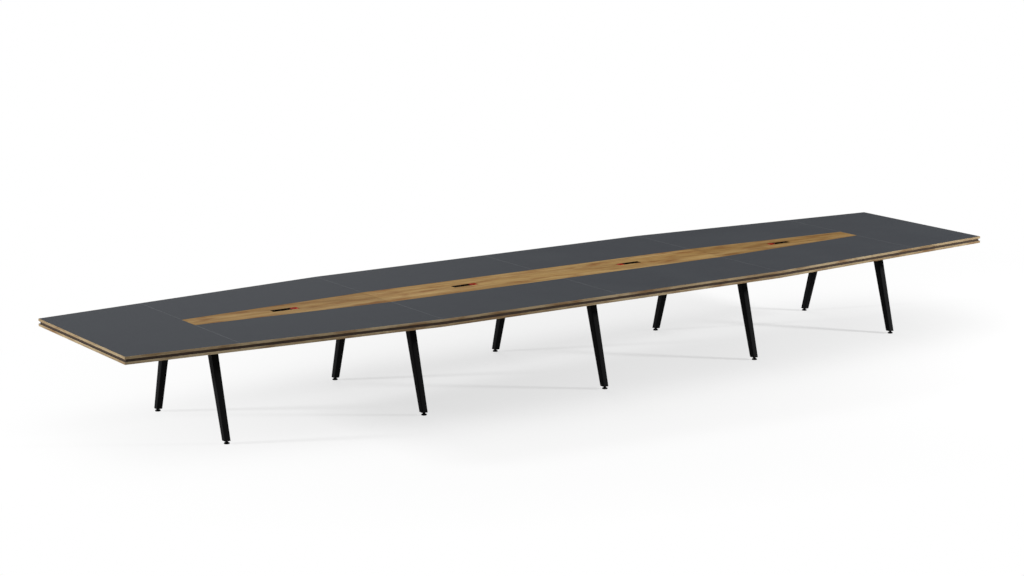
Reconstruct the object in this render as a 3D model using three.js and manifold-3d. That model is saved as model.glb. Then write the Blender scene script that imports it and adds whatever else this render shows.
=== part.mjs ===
// Boat-shaped conference table: a layered top with a recessed dark spacer and flush socket units,
// carried by five pairs of splayed, tapered legs on levelling feet.
// Millimetres, +Z up, +X along the table, origin on the floor under the middle of the top.
import * as THREE from "three";
import { mergeVertices } from "three/addons/utils/BufferGeometryUtils.js";
import Module from "manifold-3d";

const wasm = await Module();
wasm.setup();

// Table top
const TABLE_HEIGHT = 740;
const FRAME_PITCH = 1500; // from one leg frame to the next, and the length of a top module
const MODULES = 4; // top modules between the outer leg frames, an even number
const END_PANEL_LENGTH = 800; // overhang past an outer leg frame
const STRAIGHT_MODULES = 2; // modules in the middle that keep the full width
const MIDDLE_WIDTH = 1800;
const END_WIDTH = 1400;
const STRIP_MIDDLE_WIDTH = 400;
const STRIP_END_WIDTH = 200;
const UPPER_BOARD = 18;
const SPACER_BOARD = 18;
const LOWER_BOARD = 18;
const SPACER_RECESS = 10; // depth of the shadow gap behind the board edges
const SEAM_GAP = 1; // between neighbouring boards

// Socket units in the strip
const SOCKET_MODULE = 50;
const BLACK_SOCKETS = 3;
const SOCKET_WALL = 1; // housing wall round the row of modules
const SOCKET_FLANGE = 3; // rim that rests in the strip's rebate
const SOCKET_RIM = 2; // thickness of the rim
const SOCKET_DEPTH = 60;
const SOCKET_FIT = 0.5; // clearance of the housing in the strip
const SOCKET_CUTOUT_MARGIN = 6; // clearance of the housing in the hidden boards
const WELL_DIAMETER = 39;
const WELL_DEPTH = 17;
const PIN_HOLE = 5;
const PIN_SPACING = 19; // between the two pin holes in a well's floor
const PIN_DEPTH = 20;
const MODULE_BACK = 3; // plastic left behind the red module's pin holes
const MODULE_FIT = 0.3;
const GLAND_DIAMETER = 16;
const GLAND_LENGTH = 12;

// Legs
const FOOT_INSET = 170; // from the table's edge to the foot's centre at the middle frame
const FOOT_SPREAD_STEP = 200; // narrower with each frame towards an end
const LEG_LEAN = 16.2; // degrees from upright, outwards at the floor
const LEG_BOTTOM = 20; // height of the leg's lower end
const LEG_BOTTOM_X = 44;
const LEG_BOTTOM_Y = 48;
const LEG_TOP_X = 53;
const LEG_TOP_Y = 70;
const LEG_WALL = 3;
const LEG_CORNER = 4;
const CORNER_STEPS = 3; // facets in a rounded corner
const LEG_PLUG = 30; // threaded block in the leg's lower end
const PLATE_X = 90;
const PLATE_Y = 140;
const PLATE_THICKNESS = 6;
const PLATE_CORNER = 8;
const PLATE_HOLE = 6.5;
const PLATE_HOLE_INSET = 14;

// Levelling feet
const FOOT_DIAMETER = 40;
const FOOT_HEIGHT = 13; // pad, up to the collar
const FOOT_RIM = 6; // upright edge of the pad
const FOOT_CHAMFER = 2;
const COLLAR_FLATS = 17; // across the flats of the hexagon
const STUD_DIAMETER = 10;
const STUD_END_GAP = 2; // from the stud's tip to the plug's top
const STUD_FIT = 0.3;

// Under-frame
const RAIL_WIDTH = 30;
const RAIL_HEIGHT = 40;
const RAIL_WALL = 2;
const RAIL_CLEARANCE = 18; // from the rail to the nearest leg plates
const RAIL_END_MARGIN = 100; // from the rail's end to the table's end
const BEAM_WIDTH = 40;
const BEAM_HEIGHT = 40;
const BEAM_WALL = 2.5;
const WELD_GAP = 0.3;

const finish = (color, roughness, metalness) =>
  new THREE.MeshStandardMaterial({ color, roughness, metalness });
const GREY_LAMINATE = finish(0x4a4e53, 0.45, 0);
const OAK = finish(0xa88450, 0.5, 0);
const DARK_SPACER = finish(0x352d29, 0.6, 0);
const BLACK_STEEL = finish(0x1b1b1d, 0.45, 0.3);
const BLACK_PLASTIC = finish(0x0e0d0c, 0.4, 0);
const RED_PLASTIC = finish(0x91302a, 0.4, 0);
const FOOT_PLASTIC = finish(0x202022, 0.55, 0);

// Levels and places worked out from the sizes above
const spacerTop = TABLE_HEIGHT - UPPER_BOARD;
const lowerTop = spacerTop - SPACER_BOARD;
const underside = lowerTop - LOWER_BOARD;
const frameReach = (MODULES / 2) * FRAME_PITCH;
const straightReach = (STRAIGHT_MODULES / 2) * FRAME_PITCH;
const tableReach = frameReach + END_PANEL_LENGTH;
const legTop = underside - PLATE_THICKNESS;
const footSpread = MIDDLE_WIDTH - 2 * FOOT_INSET;
const leanSlope = Math.tan(THREE.MathUtils.degToRad(LEG_LEAN));
const railBottom = underside - RAIL_HEIGHT;
const beamBottom = railBottom - BEAM_HEIGHT;
const sideName = (y) => (y < 0 ? "near" : "far");

const table = new THREE.Group();

function place(name, geometry, material, x = 0, y = 0, z = 0, turn = 0) {
  const mesh = new THREE.Mesh(geometry, material);
  mesh.name = name;
  mesh.position.set(x, y, z);
  mesh.rotation.z = turn;
  table.add(mesh);
}

// Solids: a geometry as a closed body, and back again
function solid(geometry) {
  const bare = new THREE.BufferGeometry();
  bare.setAttribute("position", geometry.getAttribute("position"));
  if (geometry.index) bare.setIndex(geometry.index);
  const merged = mergeVertices(bare, 1e-4);
  const mesh = new wasm.Mesh({
    numProp: 3,
    vertProperties: merged.getAttribute("position").array,
    triVerts: new Uint32Array(merged.index.array),
  });
  return new wasm.Manifold(mesh);
}

function geometryOf(body) {
  const mesh = body.getMesh();
  const geometry = new THREE.BufferGeometry();
  geometry.setAttribute("position", new THREE.BufferAttribute(mesh.vertProperties, 3));
  geometry.setIndex(new THREE.BufferAttribute(mesh.triVerts, 1));
  const faceted = geometry.toNonIndexed();
  faceted.computeVertexNormals();
  return faceted;
}

const cut = (body, ...tools) => tools.reduce((left, tool) => left.subtract(tool), body);
const join = (body, ...others) => others.reduce((left, other) => left.add(other), body);

// A flat plate with the given outline in X and Y, between two levels
function slab(outline, bottom, top) {
  const shape = new THREE.Shape(outline.map(([x, y]) => new THREE.Vector2(x, y)));
  const geometry = new THREE.ExtrudeGeometry(shape, { depth: top - bottom, bevelEnabled: false });
  return geometry.translate(0, 0, bottom);
}

function block(lengthX, lengthY, bottom, top, x = 0, y = 0) {
  const geometry = new THREE.BoxGeometry(lengthX, lengthY, top - bottom);
  return geometry.translate(x, y, (top + bottom) / 2);
}

function disc(diameter, bottom, top, x = 0, y = 0, sides = 24) {
  const geometry = new THREE.CylinderGeometry(diameter / 2, diameter / 2, top - bottom, sides);
  return geometry.rotateX(Math.PI / 2).translate(x, y, (top + bottom) / 2);
}

// A body between level sections with equally many points, listed from the lowest up
function loft(sections) {
  const count = sections[0].length;
  const last = (sections.length - 1) * count;
  const index = [];
  for (let ring = 0; ring < last; ring += count) {
    for (let i = 0; i < count; i++) {
      const next = (i + 1) % count;
      index.push(ring + i, ring + next, ring + count + next);
      index.push(ring + i, ring + count + next, ring + count + i);
    }
  }
  for (let i = 1; i < count - 1; i++) {
    index.push(0, i + 1, i);
    index.push(last, last + i, last + i + 1);
  }
  const geometry = new THREE.BufferGeometry();
  geometry.setAttribute("position", new THREE.Float32BufferAttribute(sections.flat(2), 3));
  geometry.setIndex(index);
  return geometry;
}

// A rectangle with rounded corners, as a level section
function roundedSection(lengthX, lengthY, corner, centreY, level) {
  const points = [];
  for (let quarter = 0; quarter < 4; quarter++) {
    const signX = quarter === 0 || quarter === 3 ? 1 : -1;
    const signY = quarter < 2 ? 1 : -1;
    for (let step = 0; step <= CORNER_STEPS; step++) {
      const angle = ((quarter + step / CORNER_STEPS) * Math.PI) / 2;
      const x = signX * (lengthX / 2 - corner) + corner * Math.cos(angle);
      const y = signY * (lengthY / 2 - corner) + corner * Math.sin(angle);
      points.push([x, centreY + y, level]);
    }
  }
  return points;
}

// Half widths of the whole top and of the oak strip at a distance x from the middle
function halfWidth(x) {
  const along = Math.max(0, Math.abs(x) - straightReach) / (tableReach - straightReach);
  return THREE.MathUtils.lerp(MIDDLE_WIDTH, END_WIDTH, along) / 2;
}

function stripHalfWidth(x) {
  const along = Math.max(0, Math.abs(x) - straightReach) / (frameReach - straightReach);
  return THREE.MathUtils.lerp(STRIP_MIDDLE_WIDTH, STRIP_END_WIDTH, along) / 2;
}

// Ends of a board along X: seams are shared, the table's own ends are not
function boardEnds(start, end) {
  const startGap = Math.abs(start) < tableReach ? SEAM_GAP / 2 : 0;
  const endGap = Math.abs(end) < tableReach ? SEAM_GAP / 2 : 0;
  return [start + startGap, end - endGap];
}

// Outline of a full-width board, with a point at each change of direction
function fullWidthOutline(start, end, recess = 0) {
  const [first, last] = boardEnds(start, end);
  const from = Math.abs(start) < tableReach ? first : first + recess;
  const to = Math.abs(end) < tableReach ? last : last - recess;
  const nearSide = [from, to].map((x) => [x, recess - halfWidth(x)]);
  const farSide = nearSide.map(([x, y]) => [x, -y]).reverse();
  return [...nearSide, ...farSide];
}

// Socket units: the housing lies along X with its red module at the +X end
const socketRow = (BLACK_SOCKETS + 1) * SOCKET_MODULE;
const housingLength = socketRow + 2 * SOCKET_WALL;
const housingWidth = SOCKET_MODULE + 2 * SOCKET_WALL;
const redModuleDepth = WELL_DEPTH + PIN_DEPTH + MODULE_BACK;
const moduleX = (i) => (i - BLACK_SOCKETS / 2) * SOCKET_MODULE;
const socketCentres = Array.from({ length: MODULES }, (_, i) => (i + 0.5) * FRAME_PITCH - frameReach);

// The round well of a socket, with a pin hole on each side of its centre
function socketWell(x) {
  const well = solid(disc(WELL_DIAMETER, -WELL_DEPTH, SOCKET_RIM, x));
  const pinHoles = [-1, 1].map((side) =>
    solid(disc(PIN_HOLE, -WELL_DEPTH - PIN_DEPTH, 0, x, (side * PIN_SPACING) / 2, 8)),
  );
  return join(well, ...pinHoles);
}

function socketHousing() {
  const body = solid(block(housingLength, housingWidth, -SOCKET_DEPTH, 0));
  const rimLength = housingLength + 2 * SOCKET_FLANGE;
  const rimWidth = housingWidth + 2 * SOCKET_FLANGE;
  const rim = solid(block(rimLength, rimWidth, -SOCKET_RIM, 0));
  const glandEnd = -SOCKET_DEPTH - GLAND_LENGTH;
  const gland = solid(disc(GLAND_DIAMETER, glandEnd, -SOCKET_DEPTH, moduleX(0), 0, 16));
  const wells = Array.from({ length: BLACK_SOCKETS }, (_, i) => socketWell(moduleX(i)));
  const pocket = solid(
    block(SOCKET_MODULE, SOCKET_MODULE, -redModuleDepth, SOCKET_RIM, moduleX(BLACK_SOCKETS)),
  );
  return geometryOf(cut(join(body, rim, gland), ...wells, pocket));
}

function redSocket() {
  const side = SOCKET_MODULE - 2 * MODULE_FIT;
  const x = moduleX(BLACK_SOCKETS);
  const body = solid(block(side, side, -redModuleDepth, 0, x));
  return geometryOf(cut(body, socketWell(x)));
}

const housingGeometry = socketHousing();
const redGeometry = redSocket();
socketCentres.forEach((x, i) => {
  const turn = x < 0 ? 0 : Math.PI;
  place(`socket_housing_${i + 1}`, housingGeometry, BLACK_PLASTIC, x, 0, TABLE_HEIGHT, turn);
  place(`red_socket_${i + 1}`, redGeometry, RED_PLASTIC, x, 0, TABLE_HEIGHT, turn);
});

// Upper boards: an end panel at each end, and a near panel, a far panel and a strip in each module
function endPanel(name, start, end) {
  place(name, slab(fullWidthOutline(start, end), spacerTop, TABLE_HEIGHT), GREY_LAMINATE);
}

function sidePanel(number, side, start, end) {
  const [first, last] = boardEnds(start, end);
  const inner = [first, last].map((x) => [x, side * (stripHalfWidth(x) + SEAM_GAP / 2)]);
  const outer = [last, first].map((x) => [x, side * halfWidth(x)]);
  const outline = side > 0 ? [...inner, ...outer] : [...inner, ...outer].reverse();
  place(`${sideName(side)}_panel_${number}`, slab(outline, spacerTop, TABLE_HEIGHT), GREY_LAMINATE);
}

function centreStrip(number, start, end, socketX) {
  const [first, last] = boardEnds(start, end);
  const edge = [first, last].map((x) => [x, SEAM_GAP / 2 - stripHalfWidth(x)]);
  const outline = [...edge, ...edge.map(([x, y]) => [x, -y]).reverse()];
  const opening = block(
    housingLength + 2 * SOCKET_FIT,
    housingWidth + 2 * SOCKET_FIT,
    spacerTop - SOCKET_RIM,
    TABLE_HEIGHT + SOCKET_RIM,
    socketX,
  );
  const rebate = block(
    housingLength + 2 * (SOCKET_FLANGE + MODULE_FIT),
    housingWidth + 2 * (SOCKET_FLANGE + MODULE_FIT),
    TABLE_HEIGHT - SOCKET_RIM,
    TABLE_HEIGHT + SOCKET_RIM,
    socketX,
  );
  const board = solid(slab(outline, spacerTop, TABLE_HEIGHT));
  const cutBoard = cut(board, solid(opening), solid(rebate));
  place(`centre_strip_${number}`, geometryOf(cutBoard), OAK);
}

endPanel("end_panel_left", -tableReach, -frameReach);
endPanel("end_panel_right", frameReach, tableReach);
socketCentres.forEach((socketX, i) => {
  const start = socketX - FRAME_PITCH / 2;
  const end = socketX + FRAME_PITCH / 2;
  sidePanel(i + 1, -1, start, end);
  sidePanel(i + 1, 1, start, end);
  centreStrip(i + 1, start, end, socketX);
});

// Spacer and lower boards: three sections, joined over the leg frames where the outline bends
function layer(name, start, end, recess, bottom, top, material) {
  const board = solid(slab(fullWidthOutline(start, end, recess), bottom, top));
  const openings = socketCentres
    .filter((x) => x > start && x < end)
    .map((x) =>
      solid(
        block(
          housingLength + 2 * SOCKET_CUTOUT_MARGIN,
          housingWidth + 2 * SOCKET_CUTOUT_MARGIN,
          bottom - SOCKET_RIM,
          top + SOCKET_RIM,
          x,
        ),
      ),
    );
  place(name, geometryOf(cut(board, ...openings)), material);
}

const sections = [
  ["left", -tableReach, -straightReach],
  ["middle", -straightReach, straightReach],
  ["right", straightReach, tableReach],
];
for (const [name, start, end] of sections) {
  layer(`spacer_${name}`, start, end, SPACER_RECESS, lowerTop, spacerTop, DARK_SPACER);
  layer(`lower_board_${name}`, start, end, 0, underside, lowerTop, OAK);
}

// Legs: tapered tubes that lean outwards, each with a mounting plate on top and a threaded plug below.
// A leg's own frame has its origin on the floor under the foot, and leans towards -Y going up.
const legCentre = (level) => -leanSlope * level;
const legShare = (level) => (level - LEG_BOTTOM) / (legTop - LEG_BOTTOM);
const legX = (level) => THREE.MathUtils.lerp(LEG_BOTTOM_X, LEG_TOP_X, legShare(level));
const legY = (level) => THREE.MathUtils.lerp(LEG_BOTTOM_Y, LEG_TOP_Y, legShare(level));
const legInnerFace = (level) => legCentre(level) - legY(level) / 2;

function legSection(level, inset) {
  const lengthX = legX(level) - 2 * inset;
  const lengthY = legY(level) - 2 * inset;
  return roundedSection(lengthX, lengthY, LEG_CORNER - inset / 2, legCentre(level), level);
}

function leg() {
  const plugTop = LEG_BOTTOM + LEG_PLUG;
  const shell = solid(loft([legSection(LEG_BOTTOM, 0), legSection(legTop, 0)]));
  const hollow = solid(loft([legSection(plugTop, LEG_WALL), legSection(legTop, LEG_WALL)]));
  const boreDiameter = STUD_DIAMETER + 2 * STUD_FIT;
  const bore = solid(disc(boreDiameter, LEG_BOTTOM - STUD_FIT, plugTop + STUD_FIT, 0, 0, 12));
  const plateY = legCentre(legTop);
  const plate = solid(
    loft([legTop, underside].map((level) => roundedSection(PLATE_X, PLATE_Y, PLATE_CORNER, plateY, level))),
  );
  const holes = [-1, 1].flatMap((sideX) =>
    [-1, 1].map((sideY) => {
      const x = sideX * (PLATE_X / 2 - PLATE_HOLE_INSET);
      const y = plateY + sideY * (PLATE_Y / 2 - PLATE_HOLE_INSET);
      return solid(disc(PLATE_HOLE, legTop - PLATE_THICKNESS, underside + PLATE_THICKNESS, x, y, 8));
    }),
  );
  return geometryOf(join(cut(shell, hollow, bore), cut(plate, ...holes)));
}

// Levelling feet: a round pad, a hexagonal collar that meets the leg, and a stud inside it
function foot() {
  const radius = FOOT_DIAMETER / 2;
  const collarRadius = COLLAR_FLATS / Math.sqrt(3);
  const profile = [
    [0, 0],
    [radius - FOOT_CHAMFER, 0],
    [radius, FOOT_CHAMFER],
    [radius, FOOT_RIM],
    [collarRadius, FOOT_HEIGHT],
    [0, FOOT_HEIGHT],
  ];
  const points = profile.map(([r, z]) => new THREE.Vector2(r, z));
  const pad = new THREE.LatheGeometry(points, 24).rotateX(Math.PI / 2);
  const collarTop = LEG_BOTTOM - STUD_FIT;
  const collar = disc(2 * collarRadius, FOOT_RIM, collarTop, 0, 0, 6);
  const stud = disc(STUD_DIAMETER, FOOT_RIM, LEG_BOTTOM + LEG_PLUG - STUD_END_GAP, 0, 0, 12);
  return geometryOf(join(solid(pad), solid(collar), solid(stud)));
}

// Cross beam: a rectangular tube whose ends are cut to the lean of the legs
function crossBeam(footY) {
  const reach = (level) => footY + legInnerFace(level) - WELD_GAP;
  const trapezoid = (bottom, top, extra) => [
    [-reach(bottom) - extra, bottom],
    [reach(bottom) + extra, bottom],
    [reach(top) + extra, top],
    [-reach(top) - extra, top],
  ];
  const bar = (outline, width) => {
    const shape = new THREE.Shape(outline.map(([y, z]) => new THREE.Vector2(y, z)));
    const geometry = new THREE.ExtrudeGeometry(shape, { depth: width, bevelEnabled: false });
    return solid(geometry.translate(0, 0, -width / 2).rotateX(Math.PI / 2).rotateZ(Math.PI / 2));
  };
  const outer = bar(trapezoid(beamBottom, railBottom, 0), BEAM_WIDTH);
  const inner = bar(
    trapezoid(beamBottom + BEAM_WALL, railBottom - BEAM_WALL, BEAM_WALL),
    BEAM_WIDTH - 2 * BEAM_WALL,
  );
  return geometryOf(cut(outer, inner));
}

const legGeometry = leg();
const footGeometry = foot();
for (let frame = 0; frame <= MODULES; frame++) {
  const x = frame * FRAME_PITCH - frameReach;
  const stepsOut = Math.abs(frame - MODULES / 2);
  const footY = (footSpread - FOOT_SPREAD_STEP * stepsOut) / 2;
  for (const side of [-1, 1]) {
    const label = `${frame + 1}_${sideName(side)}`;
    const turn = side > 0 ? 0 : Math.PI;
    place(`leg_${label}`, legGeometry, BLACK_STEEL, x, side * footY, 0, turn);
    place(`foot_${label}`, footGeometry, FOOT_PLASTIC, x, side * footY, 0, turn);
  }
  place(`cross_beam_${frame + 1}`, crossBeam(footY), BLACK_STEEL, x);
}

// Rails: rectangular tubes on the cross beams, in two halves that meet over the middle frame
function rail() {
  const length = tableReach - RAIL_END_MARGIN - SEAM_GAP / 2;
  const tube = solid(block(length, RAIL_WIDTH, railBottom, underside));
  const bore = solid(
    block(length + RAIL_WALL, RAIL_WIDTH - 2 * RAIL_WALL, railBottom + RAIL_WALL, underside - RAIL_WALL),
  );
  return [geometryOf(cut(tube, bore)), SEAM_GAP / 2 + length / 2];
}

const endFootY = (footSpread - FOOT_SPREAD_STEP * (MODULES / 2)) / 2;
const railY = endFootY + legCentre(legTop) - PLATE_Y / 2 - RAIL_CLEARANCE - RAIL_WIDTH / 2;
const [railGeometry, railX] = rail();
for (const side of [-1, 1]) {
  place(`rail_${sideName(side)}_left`, railGeometry, BLACK_STEEL, -railX, side * railY);
  place(`rail_${sideName(side)}_right`, railGeometry, BLACK_STEEL, railX, side * railY);
}

export default table;
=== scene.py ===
"""Looks of a boat-shaped conference table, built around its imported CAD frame. Metres, +Z up."""

import math

import bmesh
import bpy
from mathutils import Matrix, Vector


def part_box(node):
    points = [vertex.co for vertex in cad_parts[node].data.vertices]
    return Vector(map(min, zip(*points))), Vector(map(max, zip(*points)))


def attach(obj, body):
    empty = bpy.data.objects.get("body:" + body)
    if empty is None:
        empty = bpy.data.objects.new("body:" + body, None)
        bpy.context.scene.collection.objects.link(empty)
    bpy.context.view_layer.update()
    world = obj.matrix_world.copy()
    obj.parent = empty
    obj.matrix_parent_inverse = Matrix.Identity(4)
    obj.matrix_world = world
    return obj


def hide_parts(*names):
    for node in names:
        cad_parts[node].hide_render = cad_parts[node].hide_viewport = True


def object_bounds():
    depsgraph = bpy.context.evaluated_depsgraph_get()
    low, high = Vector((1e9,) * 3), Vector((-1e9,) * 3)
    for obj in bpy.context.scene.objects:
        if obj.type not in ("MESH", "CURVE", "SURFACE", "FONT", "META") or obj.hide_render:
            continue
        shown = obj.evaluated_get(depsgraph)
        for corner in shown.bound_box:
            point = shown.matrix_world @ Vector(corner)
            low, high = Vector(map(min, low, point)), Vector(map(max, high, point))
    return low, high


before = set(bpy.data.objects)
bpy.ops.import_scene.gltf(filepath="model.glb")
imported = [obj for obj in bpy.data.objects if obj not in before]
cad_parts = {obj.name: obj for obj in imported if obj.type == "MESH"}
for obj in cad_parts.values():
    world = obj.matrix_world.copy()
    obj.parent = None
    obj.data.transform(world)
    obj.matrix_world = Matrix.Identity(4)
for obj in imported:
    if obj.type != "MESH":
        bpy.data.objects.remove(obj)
cad_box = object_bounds()

# Bodies and counts
TABLE = "table"
FRAMES = range(1, 6)
SIDES = ("near", "far")
MODULES = range(1, 5)
SECTIONS = ("left", "middle", "right")

# Camera, fitted to the photograph's straight edges and feet
CAMERA_PLACE = (-10.1155, -14.5942, 4.2886)
CAMERA_YAW = 33.842
CAMERA_PITCH = -11.636
CAMERA_ROLL = -0.106
FOCAL_PIXELS = 2403.7
PHOTO_WIDTH = 1024
SENSOR = 36.0
CAMERA_REACH = 1000.0

# Boards
EDGING = 0.002  # thickness of the glued oak edging
DARKER_ENDS_FROM = 1.5  # from the middle, beyond which the oak strip is darker
EDGING_ROUND = 0.0012
RIM_CLEAR = 0.3  # further out than the strip's edge, and closer to the ends than any seam
ROUND_STEPS = 3
CIRCLE_STEPS = 48
SAME_PLACE = 1e-6
STRAIGHT = 1e-7  # corners that turn by less are left out of an outline

# Socket units
SOCKET_MODULE = 0.050
SOCKET_WALL = 0.001
SOCKET_FLANGE = 0.003
SOCKET_RIM = 0.002
SOCKET_DEPTH = 0.060
RIM_CORNER = 0.003
RIM_ROUND = 0.0006
MODULE_GAP = 0.0003
MODULE_SINK = 0.0004  # face of a module below the rim
MODULE_DEPTH = 0.040
MODULE_BEVEL = 0.0005
CUTOUT_MARGIN = 0.012  # room for a housing in the lower board, both sides together
WELL_RADIUS = 0.0195
WELL_DEPTH = 0.017
WELL_CHAMFER = 0.0009
WELL_TAPER = 0.0004  # how much narrower the well is at its floor
WELL_ROUND = 0.001
PIN_SPACING = 0.019
PIN_RADIUS = 0.0026
PIN_DEPTH = 0.020
PIN_STEPS = 16
CLIP_WIDTH = 0.0045
CLIP_THICKNESS = 0.0009
CLIP_INSET = 0.0012  # from the well's wall
CLIP_TOP = 0.003  # below the module's face
CLIP_ROUND = 0.25  # of its thickness
BLACK_SOCKETS = 3
GLAND_RADIUS = 0.008
GLAND_LENGTH = 0.012
GLAND_ROUND = 0.0008
GLAND_GROOVE = 0.0015
GLAND_SLOPE = 0.0005  # height of the groove's sloping sides
GLAND_RING = 0.0045  # level of the lower ring's upper edge
GLAND_UPPER_RING = 0.0025
GLAND_NARROWS = (0.6, 0.85, 0.9)  # shares of the radius at the mouth, in the groove and at the housing
GLAND_STEPS = 32

# Legs and feet
LEG_TOP_X = 0.053
LEG_TOP_Y = 0.070
LEG_CORNER = 0.005
CORNER_STEPS = 8
LEG_CHAMFER = 0.0012
LEVEL_FIT = 1e-5  # corners within this height belong to the same end of a leg
PLATE_THICKNESS = 0.006
PLATE_CORNER = 0.008
PLATE_ROUND = 0.0008
SCREW_INSET = 0.014
SCREW_HEAD = 0.0058
SCREW_HEIGHT = 0.0034
SCREW_RECESS = 0.002
WELD = 0.004
WELD_ROOT = 0.0005  # how deep a weld reaches into the tube
FILLET_STEPS = 4
SCREW_STEPS = 24
SCREW_DOME = ((1.0, 0.0), (1.0, 0.47), (0.86, 0.85), (0.62, 1.0))  # shares of radius and height
SCREW_SOCKET_END = 0.4  # where the recess ends, as a share of the head's height
SCREW_DRILL_END = 0.25
FOOT_RADIUS = 0.020
FOOT_HEIGHT = 0.013
SOLE_INSET = 0.0022
SOLE_BREAK = (0.0008, 0.0006)  # inset and level of the sole's rounded edge
PAD_RIM = (0.002, 0.0055)  # levels between which the pad is widest
PAD_BREAK = (0.0006, 0.0068)
PAD_SHOULDER = (0.003, 0.0086)
PAD_FLARE = (0.0015, 0.0118)  # how far the neck spreads, and at which level
NECK_SHARE = 0.56  # the neck's radius against the collar's flats
COLLAR_FLATS = 0.017
COLLAR_TOP = 0.0197  # just under the leg's lower end
COLLAR_BEVEL = 0.0008
COLLAR_FACE = 0.9
STUD_RADIUS = 0.005
STUD_TOP = 0.048
STUD_STEPS = 24
THREAD_PITCH = 0.0015
THREAD_DEPTH = 0.0008

# Under-frame
TUBE_ROUND = 0.0025
TUBE_FLAT = 2  # degrees: faces that differ by less are one
TUBE_SHARP = 40  # degrees: edges that turn by more are rounded
TUBE_EDGE = 0.1  # edges shorter than this stay sharp
RAIL_WALL = 0.002
RAIL_SCREW_PITCH = 0.5
RAIL_SCREWS = 7
SCREWS_PER_FRAME = 3  # every third place is over a cross beam and has no screw
PLUG_DEPTH = 0.012
PLUG_ROUND = 0.0015
PLUG_MIDDLE = 0.3  # of the round, where its face turns
PLUG_CORNER = 0.003

# Stage
FLOOR_REACH = 150.0
FLOOR_DROP = 0.0002
FLOOR_WHITE = 0.62  # share of plain white in the floor near the table
FLOOR_FADE = (1.6, 4.0)  # distances across the table between which the floor turns white
FLOOR_SHARE_X = 0.66  # how much less a distance along the table counts there
FLOOR_CENTRE = 1.0  # where along the table the shadow is fullest
AMBIENT = 0.3


def linear(red, green, blue):
    """A colour given as screen values from 0 to 255, as the shader wants it."""
    shares = [value / 255 for value in (red, green, blue)]
    return (*[s / 12.92 if s <= 0.04045 else ((s + 0.055) / 1.055) ** 2.4 for s in shares], 1.0)


WHITE = (1.0, 1.0, 1.0, 1.0)
FLOOR_COLOUR = linear(180, 180, 180)  # what the table's underside sees of the floor


# Camera
def make_camera():
    """The photograph's view."""
    data = bpy.data.cameras.new("camera")
    data.sensor_width = SENSOR
    data.lens = FOCAL_PIXELS / PHOTO_WIDTH * SENSOR
    data.clip_end = CAMERA_REACH
    camera = bpy.data.objects.new("camera", data)
    bpy.context.scene.collection.objects.link(camera)
    turn = Matrix.Rotation(math.radians(-CAMERA_YAW), 4, "Z")
    tilt = Matrix.Rotation(math.radians(90 + CAMERA_PITCH), 4, "X")
    roll = Matrix.Rotation(math.radians(CAMERA_ROLL), 4, "Z")
    camera.matrix_world = Matrix.Translation(CAMERA_PLACE) @ turn @ tilt @ roll
    bpy.context.scene.camera = camera


make_camera()


# Materials
class Finish:
    """A procedural material, with short ways to add its nodes. Places are in the piece's own metres."""

    def __init__(self, name, roughness, specular=0.5, metallic=0.0):
        self.material = bpy.data.materials.new(name)
        self.material.use_nodes = True
        self.nodes = self.material.node_tree.nodes
        self.links = self.material.node_tree.links
        self.shader = self.nodes["Principled BSDF"]
        self.put(self.shader.inputs["Roughness"], roughness)
        self.put(self.shader.inputs["Specular IOR Level"], specular)
        self.put(self.shader.inputs["Metallic"], metallic)
        coordinates = self.add("TexCoord")
        self.place = coordinates.outputs["Object"]
        self.facing = coordinates.outputs["Normal"]

    def put(self, socket, value):
        if isinstance(value, bpy.types.NodeSocket):
            self.links.new(value, socket)
        else:
            socket.default_value = value

    def add(self, kind, inputs=None, **settings):
        node = self.nodes.new("ShaderNode" + kind)
        for key, value in settings.items():
            setattr(node, key, value)
        for key, value in (inputs or {}).items():
            self.put(node.inputs[key], value)
        return node

    def scaled(self, x, y, z, place=None):
        return self.add("Mapping", {"Vector": place or self.place, "Scale": (x, y, z)}).outputs[0]

    def noise(self, place, detail=2.0, roughness=0.5):
        settings = {"Vector": place, "Scale": 1.0, "Detail": detail, "Roughness": roughness}
        return self.add("TexNoise", settings).outputs["Fac"]

    def maths(self, operation, first, second=0.0):
        return self.add("Math", {0: first, 1: second}, operation=operation).outputs[0]

    def spread(self, value, low, high, to_low=0.0, to_high=1.0):
        limits = {"Value": value, "From Min": low, "From Max": high, "To Min": to_low, "To Max": to_high}
        return self.add("MapRange", limits).outputs[0]

    def blend(self, share, first, second, blend_type="MIX"):
        node = self.add("Mix", {0: share, 6: first, 7: second}, data_type="RGBA", blend_type=blend_type)
        return node.outputs[2]

    def colour(self, value):
        self.put(self.shader.inputs["Base Color"], value)

    def roughness(self, value):
        self.put(self.shader.inputs["Roughness"], value)

    def bump(self, height, depth):
        node = self.add("Bump", {"Height": height, "Distance": depth, "Strength": 1.0})
        self.put(self.shader.inputs["Normal"], node.outputs[0])


def grey_laminate(name, dark, light):
    """Matt anthracite laminate: fine pearl grain, a faint cloudiness and slightly uneven gloss."""
    finish = Finish(name, 0.75, specular=0.01)
    speckle = finish.noise(finish.scaled(900, 900, 900), detail=3, roughness=0.7)
    cloud = finish.noise(finish.scaled(2.2, 2.2, 2.2), detail=4)
    grain = finish.blend(speckle, dark, light)
    tint = finish.blend(finish.spread(cloud, 0.3, 0.7), linear(238, 238, 240), linear(255, 255, 255))
    finish.colour(finish.blend(1.0, grain, tint, "MULTIPLY"))
    finish.roughness(finish.spread(cloud, 0.2, 0.8, 0.7, 0.82))
    finish.bump(speckle, 0.00006)
    return finish.material


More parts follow.
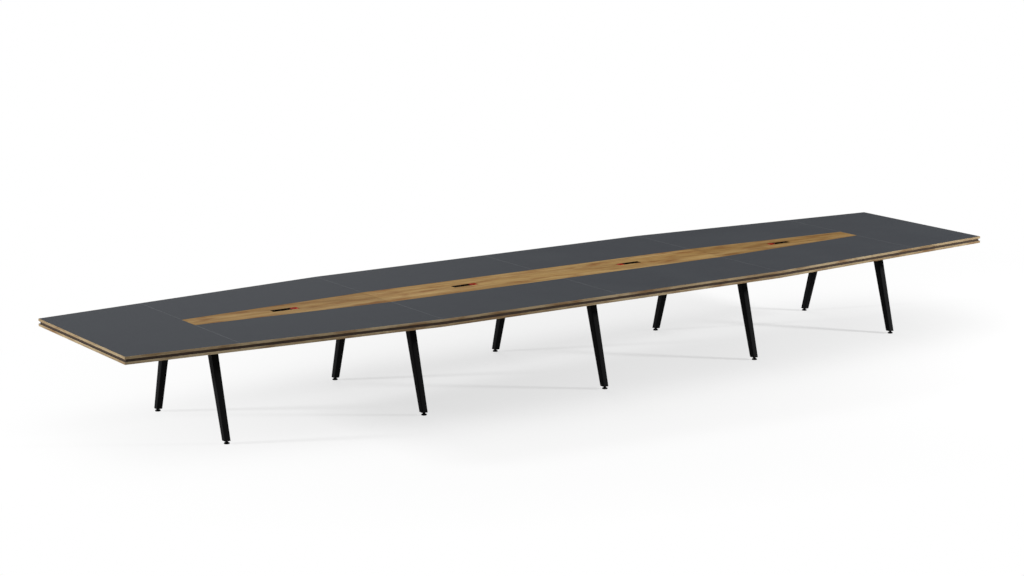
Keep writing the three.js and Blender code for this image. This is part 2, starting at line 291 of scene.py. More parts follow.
def oak(name, pale, golden, brown, russet, across_ends=False):
    """Oak decor with its grain along X, or along the edge it covers where across_ends is set."""
    finish = Finish(name, 0.7, specular=0.01)
    place = finish.place
    if across_ends:
        axes = finish.add("SeparateXYZ", {0: finish.place}).outputs
        swapped = finish.add("CombineXYZ", {0: axes[1], 1: axes[0], 2: axes[2]}).outputs[0]
        normal = finish.add("SeparateXYZ", {0: finish.facing}).outputs
        ends = finish.maths("GREATER_THAN", finish.maths("ABSOLUTE", normal[0]), 0.7)
        place = finish.add("Mix", {0: ends, 4: place, 5: swapped}, data_type="VECTOR").outputs[1]
    # Wide bands of pale and golden wood, crossed by the rings of the cut
    bands = finish.noise(finish.scaled(0.8, 13, 13, place), detail=3, roughness=0.6)
    tone = finish.blend(finish.spread(bands, 0.36, 0.64), golden, pale)
    figure = finish.noise(finish.scaled(0.55, 5.0, 5.0, place), detail=1.5, roughness=0.45)
    rings = finish.maths("PINGPONG", finish.maths("MULTIPLY", figure, 13.0), 1.0)
    tone = finish.blend(finish.spread(rings, 0.55, 1.0, 0.0, 0.4), tone, brown)
    # Russet clouds and narrow brown streaks
    clouds = finish.noise(finish.scaled(3.6, 14, 14, place), detail=3, roughness=0.6)
    tone = finish.blend(finish.spread(clouds, 0.50, 0.70, 0.0, 0.85), tone, russet)
    streaks = finish.noise(finish.scaled(2.4, 70, 70, place), detail=2)
    tone = finish.blend(finish.spread(streaks, 0.52, 0.74, 0.0, 0.7), tone, brown)
    # Scattered knots
    knots = finish.add("TexVoronoi", {"Vector": finish.scaled(1.15, 5.5, 5.5, place), "Scale": 1.0})
    lot = finish.add("SeparateColor", {0: knots.outputs["Color"]}).outputs[0]
    near = finish.spread(knots.outputs["Distance"], 0.03, 0.2, 0.7, 0.0)
    chosen = finish.maths("GREATER_THAN", lot, 0.62)
    tone = finish.blend(finish.maths("MULTIPLY", near, chosen), tone, russet)
    # Fibres and open pores
    fibre = finish.noise(finish.scaled(7, 420, 420, place), detail=3, roughness=0.65)
    shading = finish.blend(finish.spread(fibre, 0.3, 0.75), linear(212, 206, 198), linear(255, 255, 255))
    tone = finish.blend(1.0, tone, shading, "MULTIPLY")
    pores = finish.spread(finish.noise(finish.scaled(22, 900, 900, place), detail=2), 0.60, 0.72)
    tone = finish.blend(finish.maths("MULTIPLY", pores, 0.45), tone, brown)
    if not across_ends:
        # The strip is darker towards its ends
        along = finish.add("SeparateXYZ", {0: finish.place}).outputs[0]
        outer = finish.maths("GREATER_THAN", finish.maths("ABSOLUTE", along), DARKER_ENDS_FROM)
        darker = finish.blend(outer, linear(255, 255, 255), linear(234, 231, 228))
        tone = finish.blend(1.0, tone, darker, "MULTIPLY")
    finish.colour(tone)
    finish.roughness(finish.spread(fibre, 0.2, 0.8, 0.62, 0.76))
    finish.bump(finish.maths("SUBTRACT", fibre, pores), 0.00012)
    return finish.material


def dark_spacer():
    """Matt dark brown laminate with a faint grain along the board."""
    finish = Finish("dark_spacer", 0.65, specular=0.08)
    fibre = finish.noise(finish.scaled(9, 300, 300), detail=3, roughness=0.6)
    finish.colour(finish.blend(finish.spread(fibre, 0.3, 0.7), linear(56, 46, 39), linear(80, 66, 56)))
    finish.bump(fibre, 0.0001)
    return finish.material


def powder_coat():
    """Satin black powder coat: fine orange peel and a slightly worn sheen."""
    finish = Finish("powder_coat", 0.6, specular=0.03)
    peel = finish.noise(finish.scaled(1400, 1400, 1400), detail=2)
    dust = finish.noise(finish.scaled(14, 14, 14), detail=5, roughness=0.6)
    finish.colour(finish.blend(finish.spread(dust, 0.35, 0.75), linear(15, 15, 16), linear(21, 21, 22)))
    finish.roughness(finish.spread(dust, 0.3, 0.7, 0.54, 0.66))
    finish.bump(peel, 0.00008)
    return finish.material


def moulded_plastic(name, base, roughness, specular=0.02):
    """Moulded plastic with a fine spark-eroded texture."""
    finish = Finish(name, roughness, specular=specular)
    grain = finish.noise(finish.scaled(2600, 2600, 2600), detail=2)
    cloud = finish.noise(finish.scaled(60, 60, 60), detail=3)
    shade = tuple(channel * 0.82 for channel in base[:3]) + (1.0,)
    finish.colour(finish.blend(cloud, shade, base))
    finish.roughness(finish.spread(cloud, 0.3, 0.7, roughness - 0.05, roughness + 0.06))
    finish.bump(grain, 0.00005)
    return finish.material


def bare_metal(name, base, roughness):
    """Plated metal with fine turning marks."""
    finish = Finish(name, roughness, metallic=1.0)
    marks = finish.noise(finish.scaled(500, 500, 2500), detail=3)
    shade = tuple(channel * 0.8 for channel in base[:3]) + (1.0,)
    finish.colour(finish.blend(marks, shade, base))
    finish.roughness(finish.spread(marks, 0.3, 0.7, roughness - 0.08, roughness + 0.08))
    finish.bump(marks, 0.00003)
    return finish.material


GREY = grey_laminate("grey_laminate", linear(60, 62, 66), linear(81, 84, 88))
# The seam edging is a lighter grey than the boards' face: a painted highlight along the seams between
# grey boards.
PAINTED_SEAM_HIGHLIGHT = grey_laminate("seam_edging_painted_highlight", linear(92, 94, 97), linear(112, 114, 117))
OAK = oak("oak", linear(195, 164, 111), linear(173, 139, 85), linear(132, 97, 56), linear(140, 95, 54))
OAK_EDGE = oak(
    "oak_edge",
    linear(192, 175, 144),
    linear(174, 155, 123),
    linear(124, 99, 70),
    linear(128, 94, 62),
    across_ends=True,
)
SPACER = dark_spacer()
POWDER = powder_coat()
BLACK = moulded_plastic("black_plastic", linear(14, 13, 12), 0.65, specular=0.0)
RED = moulded_plastic("red_plastic", linear(178, 44, 34), 0.6, specular=0.01)
PAD = moulded_plastic("pad_plastic", linear(17, 17, 18), 0.6)
STEEL = bare_metal("plated_steel", linear(150, 150, 150), 0.35)


# Mesh helpers
def make_piece(name, mesh_maker, *materials, smooth=35):
    """A new object from a function that fills a bmesh, with edges sharper than smooth degrees kept."""
    bm = bmesh.new()
    mesh_maker(bm)
    bmesh.ops.recalc_face_normals(bm, faces=bm.faces)
    if bm.calc_volume(signed=True) < 0:
        bmesh.ops.reverse_faces(bm, faces=bm.faces)
    mesh = bpy.data.meshes.new(name)
    bm.to_mesh(mesh)
    bm.free()
    mesh.shade_smooth()
    mesh.set_sharp_from_angle(angle=math.radians(smooth))
    for material in materials:
        mesh.materials.append(material)
    return add_object(name, mesh)


def add_object(name, mesh, place=None):
    piece = bpy.data.objects.new(name, mesh)
    bpy.context.scene.collection.objects.link(piece)
    if place is not None:
        piece.matrix_world = place
    return piece


def shared_meshes(prefix, *recipes):
    """Meshes made once and used by every piece that repeats them."""
    meshes = {}
    for name, maker, material in recipes:
        model = make_piece(prefix + name, maker, material)
        meshes[name] = model.data
        bpy.data.objects.remove(model)
    return meshes


def settle(piece, body, slot, *nodes):
    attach(piece, body)
    if nodes:
        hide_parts(*nodes)
    return piece


def outline_of(node):
    """Corners of a node's outline seen from above, counter-clockwise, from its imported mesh."""
    points = sorted({(round(v.co.x, 6), round(v.co.y, 6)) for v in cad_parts[node].data.vertices})
    corners = []
    for run in (points, points[::-1]):
        chain = []
        for x, y in run:
            while len(chain) > 1:
                (ax, ay), (bx, by) = chain[-2:]
                if (bx - ax) * (y - ay) - (by - ay) * (x - ax) > STRAIGHT:
                    break
                chain.pop()
            chain.append((x, y))
        corners += chain[:-1]
    return [Vector(corner) for corner in corners]


def rectangle(length, width, corner=0.0, x=0.0, y=0.0, steps=4):
    """A rectangle round a point, counter-clockwise, with rounded corners where asked."""
    if not corner:
        signs = ((-1, -1), (1, -1), (1, 1), (-1, 1))
        return [Vector((x + sx * length / 2, y + sy * width / 2)) for sx, sy in signs]
    points = []
    for quarter, (sx, sy) in enumerate(((1, 1), (-1, 1), (-1, -1), (1, -1))):
        for step in range(steps + 1):
            angle = (quarter + step / steps) * math.pi / 2
            across = sx * (length / 2 - corner) + corner * math.cos(angle)
            along = sy * (width / 2 - corner) + corner * math.sin(angle)
            points.append(Vector((x + across, y + along)))
    return points


def circle(radius, x=0.0, y=0.0, steps=CIRCLE_STEPS):
    angles = [2 * math.pi * step / steps for step in range(steps)]
    return [Vector((x + radius * math.cos(a), y + radius * math.sin(a))) for a in angles]


def polygon(flat, sides, x=0.0, y=0.0, steps=CIRCLE_STEPS):
    """Points on a regular polygon whose flats lie this far out, in the directions of a circle's."""
    turn = 2 * math.pi / sides
    points = []
    for point in circle(1.0, steps=steps):
        angle = math.atan2(point.y, point.x)
        reach = flat / math.cos(angle - round(angle / turn) * turn)
        points.append(Vector((x, y)) + point * reach)
    return points


def inset(outline, distance):
    """The outline with each side moved inwards by a distance."""
    moved = []
    for i, point in enumerate(outline):
        before = (point - outline[i - 1]).normalized()
        after = (outline[(i + 1) % len(outline)] - point).normalized()
        first = Vector((-before.y, before.x))
        second = Vector((-after.y, after.x))
        moved.append(point + (first + second) * (distance / (1 + first.dot(second))))
    return moved


def add_ring(bm, outline, level):
    return [bm.verts.new((p.x, p.y, level)) for p in outline]


def bridge(bm, first, second):
    for i in range(len(first)):
        after = (i + 1) % len(first)
        bm.faces.new((first[i], first[after], second[after], second[i]))


def stack(bm, rings, caps=(True, True)):
    """Faces between rings of equally many vertices, with a cap on either end."""
    for first, second in zip(rings, rings[1:]):
        bridge(bm, first, second)
    if caps[0]:
        bm.faces.new(rings[0][::-1])
    if caps[1]:
        bm.faces.new(rings[-1])


def swept(outline, profile, side_materials):
    """Fills a bmesh with a closed band: profile points (inset, level) carried round an outline."""

    def fill(bm):
        rings = [add_ring(bm, inset(outline, depth), level) for depth, level in profile]
        for first, second in zip(rings, rings[1:] + rings[:1]):
            for i, material in enumerate(side_materials):
                after = (i + 1) % len(outline)
                face = bm.faces.new((first[i], first[after], second[after], second[i]))
                face.material_index = material

    return fill


def plate(loops, bottom, top):
    """Fills a bmesh with a flat plate: the first loop is its outline and the others are openings."""

    def fill(bm):
        lower = [add_ring(bm, loop, bottom) for loop in loops]
        upper = [add_ring(bm, loop, top) for loop in loops]
        for rings in (lower, upper):
            pairs = [(ring[i - 1], ring[i]) for ring in rings for i in range(len(ring))]
            edges = [bm.edges.new(pair) for pair in pairs]
            bmesh.ops.triangle_fill(bm, edges=edges, use_beauty=True, use_dissolve=False)
        for first, second in zip(lower, upper):
            bridge(bm, first, second)

    return fill


def turned(profile, steps=CIRCLE_STEPS):
    """Fills a bmesh with a body turned about Z: profile points (radius, level) from the bottom up."""

    def fill(bm):
        stack(bm, [add_ring(bm, circle(radius, steps=steps), level) for radius, level in profile])

    return fill


def rounded_edge(round_size, levels):
    """Profile points of an edge with both corners rounded, from its upper face to its lower one."""
    bottom, top = levels
    quarter = [math.pi / 2 * step / ROUND_STEPS for step in range(ROUND_STEPS + 1)]
    upper = [(round_size * (1 - math.sin(a)), top - round_size * (1 - math.cos(a))) for a in quarter]
    lower = [(round_size * (1 - math.cos(a)), bottom + round_size * (1 - math.sin(a))) for a in quarter]
    return upper + lower


# Boards: a laminated core and the edging glued round it
def on_rim(start, end):
    """Whether a side of a board lies on the table's own edge, and not against another board."""
    long_side = start.y * end.y > 0 and min(abs(start.y), abs(end.y)) > RIM_CLEAR
    short_side = min(abs(start.x), abs(end.x)) > cad_box[1].x - RIM_CLEAR
    return long_side or short_side


def edge_finish(start, end, face):
    """Which of a board's edgings covers a side: 0 oak on the rim, 1 a seam edge in a lighter grey, a
    painted highlight, 2 like the face.
    """
    if on_rim(start, end):
        return 0
    across = abs(end.y - start.y) > abs(end.x - start.x)
    return 1 if across and face == GREY else 2


def board(node, slot, face, openings=()):
    """A board and the edging round it."""
    low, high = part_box(node)
    outline = outline_of(node)
    core = make_piece(node + "_core", plate([inset(outline, EDGING), *openings], low.z, high.z), face)
    settle(core, TABLE, slot, node)
    profile = [(EDGING, high.z), *rounded_edge(EDGING_ROUND, (low.z, high.z)), (EDGING, low.z)]
    sides = [edge_finish(*ends, face) for ends in zip(outline, outline[1:] + outline[:1])]
    band = make_piece(node + "_edging", swept(outline, profile, sides), OAK_EDGE, PAINTED_SEAM_HIGHLIGHT, face)
    settle(band, TABLE, "oak")


def socket_places():
    """Centre of each socket unit and the turn that points its red end at the table's middle."""
    for number in MODULES:
        low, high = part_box(f"socket_housing_{number}")
        centre = (low + high) / 2
        turn = 0.0 if centre.x < 0 else math.pi
        yield number, Matrix.Translation((centre.x, centre.y, high.z)) @ Matrix.Rotation(turn, 4, "Z")


HOUSING_LENGTH = (BLACK_SOCKETS + 1) * SOCKET_MODULE + 2 * SOCKET_WALL
HOUSING_WIDTH = SOCKET_MODULE + 2 * SOCKET_WALL
RIM_LENGTH = HOUSING_LENGTH + 2 * SOCKET_FLANGE
RIM_WIDTH = HOUSING_WIDTH + 2 * SOCKET_FLANGE


def openings_in(node, length, width):
    """Openings for the socket units that pass through a board."""
    low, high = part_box(node)
    places = [place.translation for _, place in socket_places()]
    return [rectangle(length, width, x=p.x, y=p.y) for p in places if low.x < p.x < high.x]


def make_boards():
    for side in ("left", "right"):
        board(f"end_panel_{side}", "grey_laminate", GREY)
    for number in MODULES:
        for side in SIDES:
            board(f"{side}_panel_{number}", "grey_laminate", GREY)
        strip = f"centre_strip_{number}"
        rim_fit = 2 * MODULE_GAP
        board(strip, "oak", OAK, openings_in(strip, RIM_LENGTH + rim_fit, RIM_WIDTH + rim_fit))
    for section in SECTIONS:
        lower = f"lower_board_{section}"
        cutouts = openings_in(lower, HOUSING_LENGTH + CUTOUT_MARGIN, HOUSING_WIDTH + CUTOUT_MARGIN)
        board(lower, "grey_laminate", GREY, cutouts)
        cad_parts[f"spacer_{section}"].data.materials[0] = SPACER


make_boards()


# Socket units
def housing(bm):
    """A tray with a rounded rim: its wall runs from the inner floor up, over the rim and down outside."""
    outline = rectangle(RIM_LENGTH, RIM_WIDTH, RIM_CORNER)
    inner = SOCKET_FLANGE + SOCKET_WALL - MODULE_GAP
    floor = -MODULE_DEPTH - MODULE_SINK
    over_rim = rounded_edge(RIM_ROUND, (-SOCKET_RIM, 0.0))[: ROUND_STEPS + 1]
    profile = [(inner, floor), (inner, -RIM_ROUND), (inner - RIM_ROUND, 0.0), *over_rim]
    profile += [(0.0, -SOCKET_RIM), (SOCKET_FLANGE, -SOCKET_RIM), (SOCKET_FLANGE, -SOCKET_DEPTH)]
    stack(bm, [add_ring(bm, inset(outline, depth), level) for depth, level in profile])


def socket_module(bm):
    """One square socket: a bevelled face, a round well with a chamfered mouth, and two pin holes."""
    half = SOCKET_MODULE / 2 - MODULE_GAP
    well_foot = WELL_RADIUS - WELL_TAPER
    outside = [
        (polygon(half, 4), -MODULE_DEPTH),
        (polygon(half, 4), -MODULE_BEVEL),
        (polygon(half - MODULE_BEVEL, 4), 0.0),
        (circle(WELL_RADIUS + WELL_CHAMFER), 0.0),
        (circle(WELL_RADIUS), -WELL_CHAMFER),
        (circle(well_foot), -WELL_DEPTH + WELL_ROUND),
        (circle(well_foot - WELL_ROUND), -WELL_DEPTH),
    ]
    rings = [add_ring(bm, outline, level) for outline, level in outside]
    stack(bm, rings, caps=(True, False))
    edges = [bm.edges.get((rings[-1][i - 1], rings[-1][i])) for i in range(len(rings[-1]))]
    for side in (-1, 1):
        pin_hole = circle(PIN_RADIUS, side * PIN_SPACING / 2, steps=PIN_STEPS)
        mouth = add_ring(bm, pin_hole, -WELL_DEPTH)
        end = add_ring(bm, pin_hole, -WELL_DEPTH - PIN_DEPTH)
        edges += [bm.edges.new((mouth[i - 1], mouth[i])) for i in range(len(mouth))]
        stack(bm, [mouth, end], caps=(False, True))
    bmesh.ops.triangle_fill(bm, edges=edges, use_beauty=True, use_dissolve=False)


def add_block(bm, low, high):
    """A box between two corners, with its edges slightly rounded."""
    size = Vector(high) - Vector(low)
    made = bmesh.ops.create_cube(bm, size=1.0)["verts"]
    bmesh.ops.scale(bm, vec=size, verts=made)
    bmesh.ops.translate(bm, vec=(Vector(low) + Vector(high)) / 2, verts=made)
    edges = {edge for vert in made for edge in vert.link_edges}
    bmesh.ops.bevel(bm, geom=list(edges), offset=min(size) * CLIP_ROUND, segments=2, affect="EDGES")


def earth_clips(bm):
    """The two spring strips on the sides of a well."""
    for side in (-1, 1):
        outer = side * (WELL_RADIUS - CLIP_INSET)
        inner = outer - side * CLIP_THICKNESS
        low = (-CLIP_WIDTH / 2, min(outer, inner), -WELL_DEPTH)
        high = (CLIP_WIDTH / 2, max(outer, inner), -CLIP_TOP)
        add_block(bm, low, high)


def gland(bm):
    """A cable gland: two rings with a groove between them, narrower at the mouth and at the housing."""
    mouth, waist, neck = [GLAND_RADIUS * share for share in GLAND_NARROWS]
    groove_low = GLAND_RING + GLAND_SLOPE
    groove_high = groove_low + GLAND_GROOVE
    upper_ring = groove_high + GLAND_SLOPE
    profile = [
        (mouth, 0.0),
        (GLAND_RADIUS, GLAND_ROUND),
        (GLAND_RADIUS, GLAND_RING),
        (waist, groove_low),
        (waist, groove_high),
        (GLAND_RADIUS, upper_ring),
        (GLAND_RADIUS, upper_ring + GLAND_UPPER_RING),
        (neck, GLAND_LENGTH),
    ]
    turned(profile, steps=GLAND_STEPS)(bm)


def make_sockets():
    meshes = shared_meshes(
        "socket_",
        ("tray", housing, BLACK),
        ("black", socket_module, BLACK),
        ("red", socket_module, RED),
        ("clips", earth_clips, STEEL),
        ("gland", gland, BLACK),
    )
    for number, place in socket_places():
        tray = add_object(f"socket_tray_{number}", meshes["tray"], place)
        settle(tray, TABLE, "black_plastic", f"socket_housing_{number}")
        first = (-BLACK_SOCKETS / 2) * SOCKET_MODULE
        lead = Matrix.Translation((first, 0, -SOCKET_DEPTH - GLAND_LENGTH))
        gland_piece = add_object(f"socket_gland_{number}", meshes["gland"], place @ lead)
        settle(gland_piece, TABLE, "black_plastic")
        for position in range(BLACK_SOCKETS + 1):
            spot = place @ Matrix.Translation((first + position * SOCKET_MODULE, 0, -MODULE_SINK))
            red = position == BLACK_SOCKETS
            colour = "red" if red else "black"
            label = f"socket_{number}_{position + 1}"
            socket = add_object(label + "_" + colour, meshes[colour], spot)
            settle(socket, TABLE, colour + "_plastic", *([f"red_socket_{number}"] if red else []))
            settle(add_object(label + "_clips", meshes["clips"], spot), TABLE, "black_steel")


make_sockets()


# Legs: a tapered tube, its mounting plate with screws, and the weld between them
def leg_place(node):
    """The leg's own frame: its origin on the floor under the foot, leaning towards -Y going up."""
    low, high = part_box(node.replace("leg", "foot"))
    centre = (low + high) / 2
    turn = 0.0 if centre.y > 0 else math.pi
    return Matrix.Translation((centre.x, centre.y, 0)) @ Matrix.Rotation(turn, 4, "Z")


def leg_shape():
    """Sections and levels of a leg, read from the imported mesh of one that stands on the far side."""
    vertices = [v.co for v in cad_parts["leg_3_far"].data.vertices]
    foot_low, foot_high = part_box("foot_3_far")
    foot_y = (foot_low.y + foot_high.y) / 2
    bottom = min(v.z for v in vertices)
    top = max(v.z for v in vertices)
    lowest = [v for v in vertices if v.z < bottom + LEVEL_FIT]
    highest = [v for v in vertices if v.z > top - LEVEL_FIT]

    def span(points, axis):
        return min(p[axis] for p in points), max(p[axis] for p in points)

    def length(points, axis):
        low, high = span(points, axis)
        return high - low

    return {
        "bottom": bottom,
        "top": top - PLATE_THICKNESS,
        "under": top,
        "bottom_x": length(lowest, 0),
        "bottom_y": length(lowest, 1),
        "bottom_centre": sum(span(lowest, 1)) / 2 - foot_y,
        "plate_x": length(highest, 0),
        "plate_y": length(highest, 1),
        "top_centre": sum(span(highest, 1)) / 2 - foot_y,
    }


LEG = leg_shape()


def leg_section(level, extra=0.0):
    """Outline of the tube at a level, grown by a little where asked."""
    share = (level - LEG["bottom"]) / (LEG["top"] - LEG["bottom"])

    def mixed(low, high):
        return low + (high - low) * share

    length = mixed(LEG["bottom_x"], LEG_TOP_X) + 2 * extra
    width = mixed(LEG["bottom_y"], LEG_TOP_Y) + 2 * extra
    centre = mixed(LEG["bottom_centre"], LEG["top_centre"])
    return rectangle(length, width, LEG_CORNER + extra, y=centre, steps=CORNER_STEPS)


def leg_tube(bm):
    bottom = LEG["bottom"]
    rings = [add_ring(bm, leg_section(bottom, -LEG_CHAMFER), bottom)]
    rings.append(add_ring(bm, leg_section(bottom + LEG_CHAMFER), bottom + LEG_CHAMFER))
    rings.append(add_ring(bm, leg_section(LEG["top"]), LEG["top"]))
    stack(bm, rings)


def fillet(size):
    """Section of a weld: how far its points stand out from the tube, and away from the other part."""
    angles = [math.pi / 2 * step / FILLET_STEPS for step in range(FILLET_STEPS + 1)]
    hollow = [(size * (1 - math.sin(a)), size * (1 - math.cos(a))) for a in angles]
    return hollow + [(-WELD_ROOT, 0.0)]


def leg_weld(bm):
    """A fillet bead where the tube meets the plate."""
    top = LEG["top"]
    rings = []
    for out, away in fillet(WELD):
        rings.append(add_ring(bm, leg_section(top - away, out), top - away))
    stack(bm, rings + rings[:1], caps=(False, False))


def beam_weld(bm):
    """A fillet bead where the cross beam's end meets the leaning face of the leg."""
    low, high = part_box("cross_beam_3")
    centre = (low + high) / 2
    rings = []
    for out, away in fillet(WELD):
        outline = rectangle(high.x - low.x + 2 * out, high.z - low.z + 2 * out, WELD + out, y=centre.z)
        faces = [min(point.y for point in leg_section(spot.y)) for spot in outline]
        rings.append([bm.verts.new((p.x, face - away, p.y)) for p, face in zip(outline, faces)])
    stack(bm, rings + rings[:1], caps=(False, False))


def leg_plate(bm):
    size = (LEG["plate_x"], LEG["plate_y"])
    outline = rectangle(*size, PLATE_CORNER, y=LEG["top_centre"], steps=CORNER_STEPS)
    profile = rounded_edge(PLATE_ROUND, (LEG["top"], LEG["under"]))
    stack(bm, [add_ring(bm, inset(outline, depth), level) for depth, level in profile])


def screw_head(bm, place):
    """A pan head with a hexagonal recess, pointing down."""
    spot = {"x": place.x, "y": place.y, "steps": SCREW_STEPS}
    outlines = [(circle(SCREW_HEAD * share, **spot), drop) for share, drop in SCREW_DOME]
    recess = polygon(SCREW_RECESS, 6, **spot)
    outlines += [(recess, 1.0), (recess, SCREW_SOCKET_END)]
    outlines.append((circle(SCREW_RECESS / 2, **spot), SCREW_DRILL_END))
    stack(bm, [add_ring(bm, outline, place.z - SCREW_HEIGHT * drop) for outline, drop in outlines])


def plate_screws(bm):
    for side_x in (-1, 1):
        for side_y in (-1, 1):
            x = side_x * (LEG["plate_x"] / 2 - SCREW_INSET)
            y = LEG["top_centre"] + side_y * (LEG["plate_y"] / 2 - SCREW_INSET)
            screw_head(bm, Vector((x, y, LEG["top"])))


# Levelling feet
def foot_pad(bm):
    """A round pad with a soft edge, which rises to the neck under the collar."""
    radius = FOOT_RADIUS
    neck = COLLAR_FLATS * NECK_SHARE
    profile = [(radius - SOLE_INSET, 0.0), (radius - SOLE_BREAK[0], SOLE_BREAK[1])]
    profile += [(radius, level) for level in PAD_RIM]
    profile += [(radius - depth, level) for depth, level in (PAD_BREAK, PAD_SHOULDER)]
    profile += [(neck + PAD_FLARE[0], PAD_FLARE[1]), (neck, FOOT_HEIGHT)]
    turned(profile)(bm)


def foot_collar(bm):
    """A hexagon for the spanner, with broken edges."""
    corner = COLLAR_FLATS / math.sqrt(3)
    profile = [
        (corner * COLLAR_FACE, FOOT_HEIGHT),
        (corner, FOOT_HEIGHT + COLLAR_BEVEL),
        (corner, COLLAR_TOP - COLLAR_BEVEL),
        (corner * COLLAR_FACE, COLLAR_TOP),
    ]
    turned(profile, steps=6)(bm)


def foot_stud(bm):
    """The threaded stud, with a groove for each turn."""
    turns = int((STUD_TOP - COLLAR_TOP) / THREAD_PITCH)
    profile = [(STUD_RADIUS - THREAD_DEPTH, FOOT_HEIGHT)]
    for turn in range(turns):
        level = COLLAR_TOP + turn * THREAD_PITCH
        profile.append((STUD_RADIUS - THREAD_DEPTH, level))
        profile.append((STUD_RADIUS, level + THREAD_PITCH / 2))
    profile.append((STUD_RADIUS - THREAD_DEPTH, STUD_TOP))
    turned(profile, steps=STUD_STEPS)(bm)


def make_legs():
    meshes = shared_meshes(
        "leg_",
        ("tube", leg_tube, POWDER),
        ("weld", leg_weld, POWDER),
        ("beam_weld", beam_weld, POWDER),
        ("plate", leg_plate, POWDER),
        ("screws", plate_screws, STEEL),
        ("pad", foot_pad, PAD),
        ("collar", foot_collar, PAD),
        ("stud", foot_stud, STEEL),
    )
    for number in FRAMES:
        for side in SIDES:
            leg, foot = f"leg_{number}_{side}", f"foot_{number}_{side}"
            place = leg_place(leg)
            settle(add_object(leg + "_tube", meshes["tube"], place), TABLE, "black_steel", leg)
            for part in ("weld", "beam_weld", "plate", "screws"):
                settle(add_object(f"{leg}_{part}", meshes[part], place), TABLE, "black_steel")
            settle(add_object(foot + "_pad", meshes["pad"], place), foot, "foot_plastic", foot)
            for part in ("collar", "stud"):
                settle(add_object(f"{foot}_{part}", meshes[part], place), foot, "foot_plastic")


make_legs()


# Under-frame: tubes with rounded edges, and the rails' screws and end plugs
def rounded_tube(node):
    """A packed tube again, with its long edges rounded."""

    def fill(bm):
        bm.from_mesh(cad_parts[node].data)
        bmesh.ops.remove_doubles(bm, verts=bm.verts, dist=SAME_PLACE)
        bmesh.ops.dissolve_limit(bm, angle_limit=math.radians(TUBE_FLAT), verts=bm.verts, edges=bm.edges)
        long_edges = [e for e in bm.edges if e.calc_length() > TUBE_EDGE]
        sharp = [e for e in long_edges if e.calc_face_angle(0) > math.radians(TUBE_SHARP)]
        bmesh.ops.bevel(bm, geom=sharp, offset=TUBE_ROUND, segments=ROUND_STEPS, affect="EDGES")

    settle(make_piece(node + "_tube", fill, POWDER), TABLE, "black_steel", node)


def rail_screws(node):
    """Screws up into the lower board, between the cross beams."""
    low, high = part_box(node)
    middle = (low + high) / 2
    turn = math.copysign(1, middle.x)
    steps = [step for step in range(1, RAIL_SCREWS + 1) if step % SCREWS_PER_FRAME]

    def fill(bm):
        for step in steps:
            screw_head(bm, Vector((turn * step * RAIL_SCREW_PITCH, middle.y, low.z)))

    settle(make_piece(node + "_screws", fill, STEEL), TABLE, "black_steel")


def rail_plug(node):
    """A plastic plug in the rail's outer end, with a domed face."""
    low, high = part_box(node)
    turn = math.copysign(1, low.x + high.x)
    end = max(abs(low.x), abs(high.x))
    turning = PLUG_ROUND * PLUG_MIDDLE
    face = [(0.0, PLUG_DEPTH), (0.0, PLUG_ROUND), (turning, turning), (PLUG_ROUND, 0.0)]

    def fill(bm):
        width = high.y - low.y - 2 * RAIL_WALL
        height = high.z - low.z - 2 * RAIL_WALL
        outline = rectangle(width, height, PLUG_CORNER, (low.y + high.y) / 2, (low.z + high.z) / 2)
        rings = []
        for depth, back in face:
            ring = [bm.verts.new((turn * (end - back), p.x, p.y)) for p in inset(outline, depth)]
            rings.append(ring)
        stack(bm, rings)

    settle(make_piece(node + "_plug", fill, PAD), TABLE, "foot_plastic")


def make_under_frame():
    for number in FRAMES:
        rounded_tube(f"cross_beam_{number}")
    for side in SIDES:
        for end in ("left", "right"):
            rail = f"rail_{side}_{end}"
            rounded_tube(rail)
            rail_screws(rail)
            rail_plug(rail)


make_under_frame()


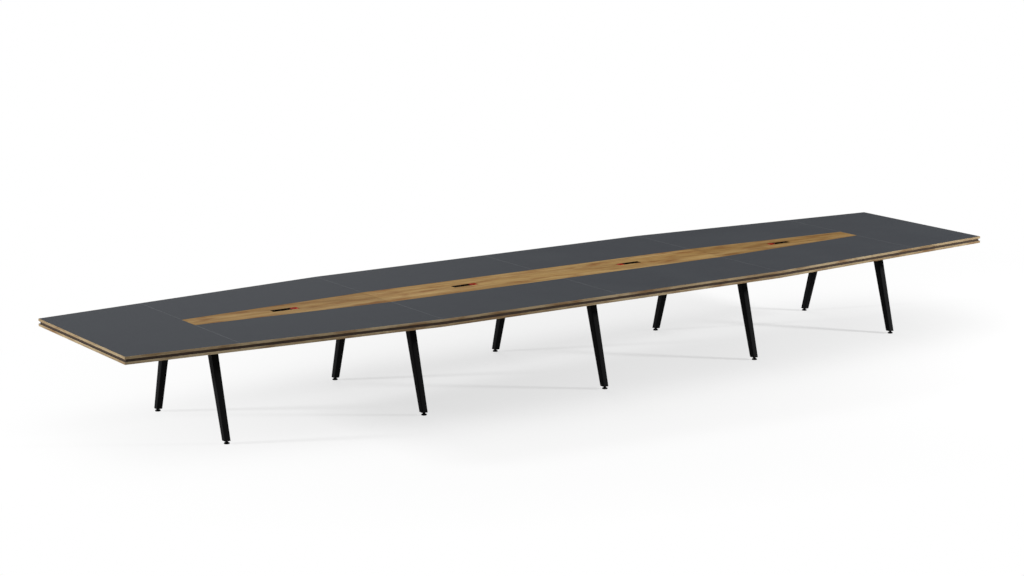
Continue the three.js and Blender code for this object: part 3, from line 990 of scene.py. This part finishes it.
# Stage and light
def make_floor():
    """A pale floor that catches the shadow, and turns to the plain white of the backdrop further out."""
    finish = Finish("floor", 0.9, specular=0.0)
    finish.colour(FLOOR_COLOUR)
    shift = (-FLOOR_SHARE_X * FLOOR_CENTRE, 0, 0)
    settings = {"Vector": finish.place, "Location": shift, "Scale": (FLOOR_SHARE_X, 1, 0)}
    shrunk = finish.add("Mapping", settings)
    away = finish.add("VectorMath", {0: shrunk.outputs[0]}, operation="LENGTH").outputs["Value"]
    white = finish.spread(away, FLOOR_FADE[0], FLOOR_FADE[1], FLOOR_WHITE, 1.0)
    path = finish.add("LightPath").outputs
    seen = finish.maths("MAXIMUM", path["Is Camera Ray"], path["Is Glossy Ray"])
    seen = finish.maths("MAXIMUM", seen, path["Is Transmission Ray"])
    glow = finish.add("Emission", {"Color": WHITE, "Strength": 1.0}).outputs[0]
    catcher = finish.add("BsdfDiffuse", {"Color": WHITE}).outputs[0]
    backdrop = finish.add("MixShader", {0: white, 1: catcher, 2: glow}).outputs[0]
    both = finish.add("MixShader", {0: seen, 1: finish.shader.outputs[0], 2: backdrop}).outputs[0]
    finish.put(finish.nodes["Material Output"].inputs["Surface"], both)

    def fill(bm):
        bm.faces.new(add_ring(bm, rectangle(2 * FLOOR_REACH, 2 * FLOOR_REACH), -FLOOR_DROP))

    make_piece("floor", fill, finish.material)


def make_world():
    """Soft light from all round, seen as plain white."""
    world = bpy.data.worlds.new("studio")
    bpy.context.scene.world = world
    world.use_nodes = True
    nodes = world.node_tree.nodes
    links = world.node_tree.links
    path = nodes.new("ShaderNodeLightPath")
    seen = path.outputs["Is Camera Ray"]
    for kind in ("Is Glossy Ray", "Is Transmission Ray"):
        either = nodes.new("ShaderNodeMath")
        either.operation = "MAXIMUM"
        links.new(seen, either.inputs[0])
        links.new(path.outputs[kind], either.inputs[1])
        seen = either.outputs[0]
    strength = nodes.new("ShaderNodeMapRange")
    links.new(seen, strength.inputs["Value"])
    strength.inputs["To Min"].default_value = AMBIENT
    strength.inputs["To Max"].default_value = 1.0
    background = nodes["Background"]
    background.inputs["Color"].default_value = WHITE
    links.new(strength.outputs[0], background.inputs["Strength"])


def make_softbox(name, place, target, size, power):
    """A rectangular lamp at a place, turned towards a target."""
    data = bpy.data.lights.new(name, "AREA")
    data.shape = "RECTANGLE"
    data.size, data.size_y = size
    data.energy = power
    lamp = bpy.data.objects.new(name, data)
    bpy.context.scene.collection.objects.link(lamp)
    away = Vector(place) - Vector(target)
    lamp.matrix_world = Matrix.Translation(place) @ away.to_track_quat("Z", "Y").to_matrix().to_4x4()


make_floor()
make_world()
make_softbox("left_softbox", place=(-11.0, 4.0, 3.4), target=(-3.0, 0, 0.6), size=(0.9, 0.7), power=820)
make_softbox("right_softbox", place=(8.5, -6.5, 3.6), target=(3.0, 0, 0.6), size=(0.9, 0.7), power=850)
make_softbox("back_softbox", place=(3.0, 11.0, 2.4), target=(2.0, 0, 0.6), size=(6.0, 3.0), power=320)
make_softbox("top_softbox", place=(-1.5, 1.0, 9.0), target=(-0.5, 0, 0.5), size=(13.0, 6.0), power=290)

bpy.context.scene.view_settings.view_transform = "Standard"
